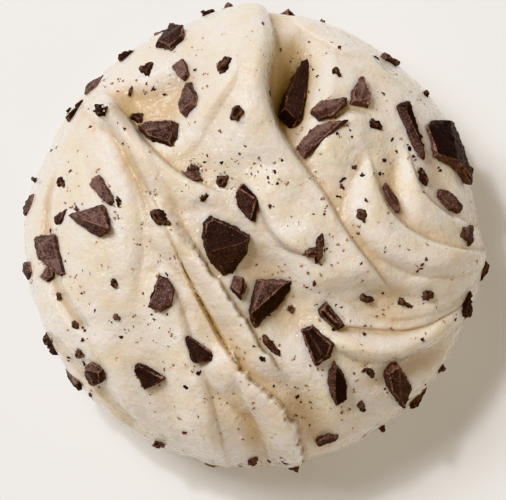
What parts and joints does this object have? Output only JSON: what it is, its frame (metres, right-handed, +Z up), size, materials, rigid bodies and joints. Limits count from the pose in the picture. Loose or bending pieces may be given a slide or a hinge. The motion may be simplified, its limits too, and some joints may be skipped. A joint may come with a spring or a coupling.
{
  "type": "gelato",
  "caption": "Helping of stracciatella gelato, a soft folded mound with broken dark chocolate pieces set into it, on a flat foot.",
  "frame": {"origin": "middle of the bounding box at the flat foot", "axes": "+Z up through the mound; seen from above, +X is the picture's right and +Y the picture's top"},
  "size_m": [0.1034, 0.104, 0.0414],
  "materials": {
    "gelato": "soft, moist ivory milk ice with a faint sheen and fine brown chocolate specks",
    "chocolate": "dark chocolate, rough broken faces with paler reddish edges"
  },
  "bodies": {
    "root": {"chocolate_arrow": "chocolate", "chocolate_bead": "chocolate", "chocolate_blade": "chocolate", "chocolate_block": "chocolate", "chocolate_chip": "chocolate", "chocolate_curl": "chocolate", "chocolate_flank_1": "chocolate", "chocolate_flank_10": "chocolate", "chocolate_flank_11": "chocolate", "chocolate_flank_12": "chocolate", "chocolate_flank_2": "chocolate", "chocolate_flank_3": "chocolate", "chocolate_flank_4": "chocolate", "chocolate_flank_5": "chocolate", "chocolate_flank_6": "chocolate", "chocolate_flank_7": "chocolate", "chocolate_flank_8": "chocolate", "chocolate_flank_9": "chocolate", "chocolate_forkArm": "chocolate", "chocolate_forkHead": "chocolate", "chocolate_husk": "chocolate", "chocolate_kite": "chocolate", "chocolate_knuckle": "chocolate", "chocolate_leftTriangle": "chocolate", "chocolate_longFlake": "chocolate", "chocolate_lowerTriangle": "chocolate", "chocolate_lump": "chocolate", "chocolate_plank": "chocolate", "chocolate_pod": "chocolate", "chocolate_prow": "chocolate", "chocolate_rimBlock": "chocolate", "chocolate_rimCrumb": "chocolate", "chocolate_rimLeaf": "chocolate", "chocolate_rimShard": "chocolate", "chocolate_seed": "chocolate", "chocolate_slab": "chocolate", "chocolate_spar": "chocolate", "chocolate_splinter": "chocolate", "chocolate_tooth": "chocolate", "chocolate_wedge": "chocolate", "gelato": "gelato"}
  },
  "joints": []
}
